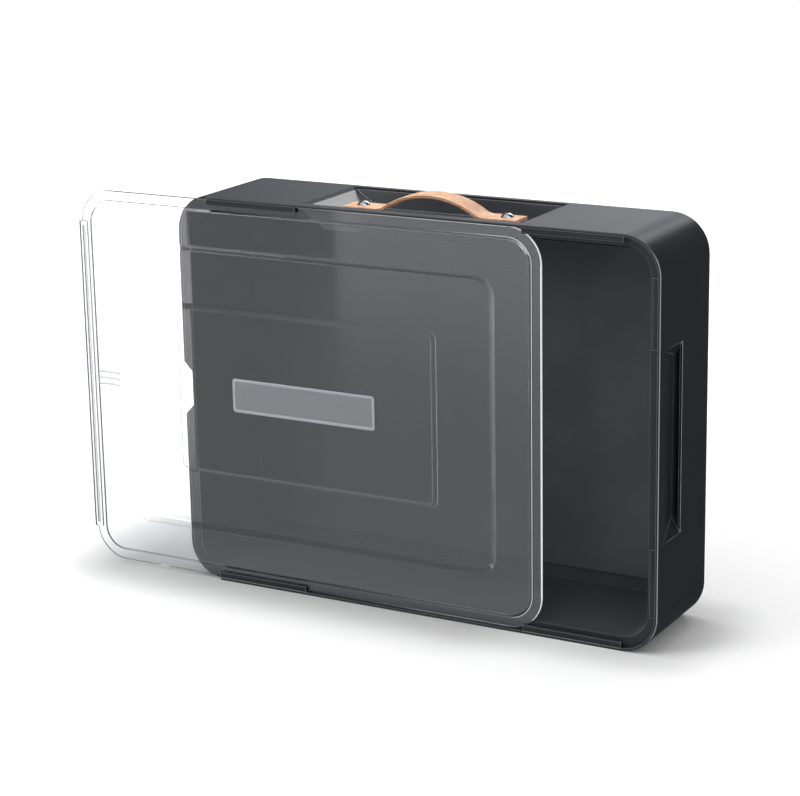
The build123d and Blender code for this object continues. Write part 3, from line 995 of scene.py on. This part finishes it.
# where the floor's light and what a gloss sees of it start and end
floorZones = {
    "outline": (-0.055, 0.305),        # middle and half length of the case with its open door
    "paintedShade": (-0.13, 0.18),           # the same of its left part, which gets the painted shadow
    "halfDepth": 0.056,
    "shadeGap": (0.0, 0.11),           # gaps to the case
    "glowGap": (0.005, 0.07),
    "farGap": (0.1, 2.0),
    "strip": ((-0.0735, -0.053), (-1.1725, -1.901), 0.012),    # ends and softness of a line
    "stripDepth": (-2.0, -0.45),       # along Y, as all below
    "left": ((-1.5, -1.901), (-0.2372, -0.053), 0.0015),
    "leftFar": (-1.2, -0.7, 1.0, 0.75),
    "leftNear": (-0.56, -0.2, 1.0, 0.3),
    "near": (-0.20, -0.12),
    "behind": (-0.09, -0.03),
}
# the same of the surroundings, in parts of the direction that a ray goes
skyZones = {
    "middle": (-0.60, -0.34),          # X, behind the case
    "right": (-0.12, 0.16),
    "high": (0.50, 0.80),              # Z, before the case
    "spot": (0.53, -0.46, 0.71),       # direction of the lamp
    "spotSpread": (0.86, 0.94),
    "behind": (-0.2, 0.4),             # Y
}


def lightPath(finish):
    # seen: rays that see the background by eye, in a gloss or through the door
    # mirrored: those of them that a gloss or the door's inner side sent back
    # kept: what is left of the mirrored ones
    byEye, glossy, reflected, transmitted, depth = finish.outputs(
        "ShaderNodeLightPath", None, "Is Camera Ray", "Is Glossy Ray", "Is Reflection Ray",
        "Is Transmission Ray", "Ray Depth")
    once, twice = studio["insideTurns"]
    inside = transmitted * (depth > once)
    mirrored = (glossy * reflected + inside).atMostOne()
    inner = between(depth > twice, studio["insideFirst"], studio["insideRest"])
    seen = (byEye + glossy + transmitted).atMostOne()
    return seen, mirrored, mirrored * (1 - inside) + inside * inner


def besideLine(finish, x, y, start, end, soft):
    # 0 to 1 across a line on the floor, 1 on its left when looking from start to end
    along = (Vector(end) - Vector(start)).normalized()
    return finish.ramp((y - start[1]) * along.x - (x - start[0]) * along.y, -soft, soft)


def floorGloss(finish):
    # what a gloss sees of the floor: lit patches before the door, shade behind the case
    x, y = finish.parts(finish.place(), "X", "Y")
    strip = besideLine(finish, x, y, *floorZones["strip"]) * finish.fall(y, *floorZones["stripDepth"])
    left = (besideLine(finish, x, y, *floorZones["left"])
            * finish.ramp(y, *floorZones["leftFar"]) * finish.ramp(y, *floorZones["leftNear"]))
    level = between(strip, studio["frontGloss"], studio["litGloss"])
    level = between(left, level, studio["leftGloss"])
    level = between(finish.ramp(y, *floorZones["near"]), level, studio["nearGloss"])
    return between(finish.ramp(y, *floorZones["behind"]), level, studio["behindGloss"])


def floorGap(finish, middleX, halfLength):
    # distance of a floor point from a length of the case's footprint
    away = finish.vector("ABSOLUTE", finish.vector("SUBTRACT", finish.place(), (middleX, 0.0, 0.0)))
    away = finish.vector("SUBTRACT", away, (halfLength, floorZones["halfDepth"], 0.0))
    return finish.vector("LENGTH", finish.vector("MAXIMUM", away, (0.0, 0.0, 0.0)))


def setFloor():
    mesh = bpy.data.meshes.new("floor")
    half = studio["floorSize"] / 2
    mesh.from_pydata([(-half, -half, 0), (half, -half, 0), (half, half, 0), (-half, half, 0)],
                     [], [(0, 1, 2, 3)])
    floor = bpy.data.objects.new("floor", mesh)
    bpy.context.collection.objects.link(floor)

    finish = newFinish("floorWhite")
    gap = floorGap(finish, *floorZones["outline"])
    # painted shadow: the floor is darker near the case's left part and the open door, and its added
    # white is lower near the case
    light = finish.ramp(floorGap(finish, *floorZones["paintedShade"]), *floorZones["shadeGap"],
                        1 - studio["contact"], 1.0)
    glow = (finish.ramp(gap, *floorZones["glowGap"], studio["nearGlow"], studio["openGlow"])
            + finish.ramp(gap, *floorZones["farGap"]) * studio["farGlow"])
    seen, mirrored, kept = lightPath(finish)
    plain = finish.node("ShaderNodeAddShader", {}, [
        finish.node("ShaderNodeBsdfDiffuse", {}, [light * studio["floorShade"]]),
        finish.node("ShaderNodeEmission", {}, [grey(1.0), seen * glow * light])])
    gloss = finish.node("ShaderNodeEmission", {}, [studio["glossTint"], kept * floorGloss(finish)])
    mesh.materials.append(finish.show(finish.mixed(mirrored, plain, gloss)))


def setSurroundings():
    world = bpy.data.worlds.new("studio")
    bpy.context.scene.world = world
    finish = Finish(world)
    seen, mirrored, kept = lightPath(finish)
    heading = finish.node("ShaderNodeTexCoord", output="Generated")
    x, y, z = finish.parts(heading, "X", "Y", "Z")
    back = finish.ramp(x, *skyZones["middle"], studio["skyLeft"], studio["skyMiddle"])
    back = between(finish.ramp(x, *skyZones["right"]), back, studio["skyRight"])
    front = finish.ramp(z, *skyZones["high"], studio["skyFront"], studio["skyHigh"])
    spot = finish.vector("DOT_PRODUCT", heading, skyZones["spot"])
    front = front + finish.ramp(spot, *skyZones["spotSpread"]) * studio["skySpot"]
    sky = between(finish.ramp(y, *skyZones["behind"]), front, back)
    level = seen * (1 - mirrored) + kept * sky + (1 - seen) * studio["ambient"]
    colour = finish.blend(mirrored, grey(1.0), studio["glossTint"])
    finish.show(finish.node("ShaderNodeBackground", {}, [colour, level]), "ShaderNodeOutputWorld")


def setLamps():
    for name, lamp in studio["lamps"].items():
        data = bpy.data.lights.new(name, "AREA")
        data.shape = "RECTANGLE"
        data.size, data.size_y = lamp["size"]
        data.energy = lamp["power"]
        box = bpy.data.objects.new(name, data)
        box.location = lamp["place"]
        box.rotation_mode = "QUATERNION"
        box.rotation_quaternion = (Vector(lamp["aim"]) - box.location).to_track_quat("-Z", "Y")
        box.visible_glossy = lamp["mirrored"]
        box.visible_transmission = lamp["mirrored"]
        bpy.context.collection.objects.link(box)


setCamera()
setFloor()
setSurroundings()
setLamps()
bpy.context.scene.view_settings.view_transform = "Standard"
print("camera and studio set")
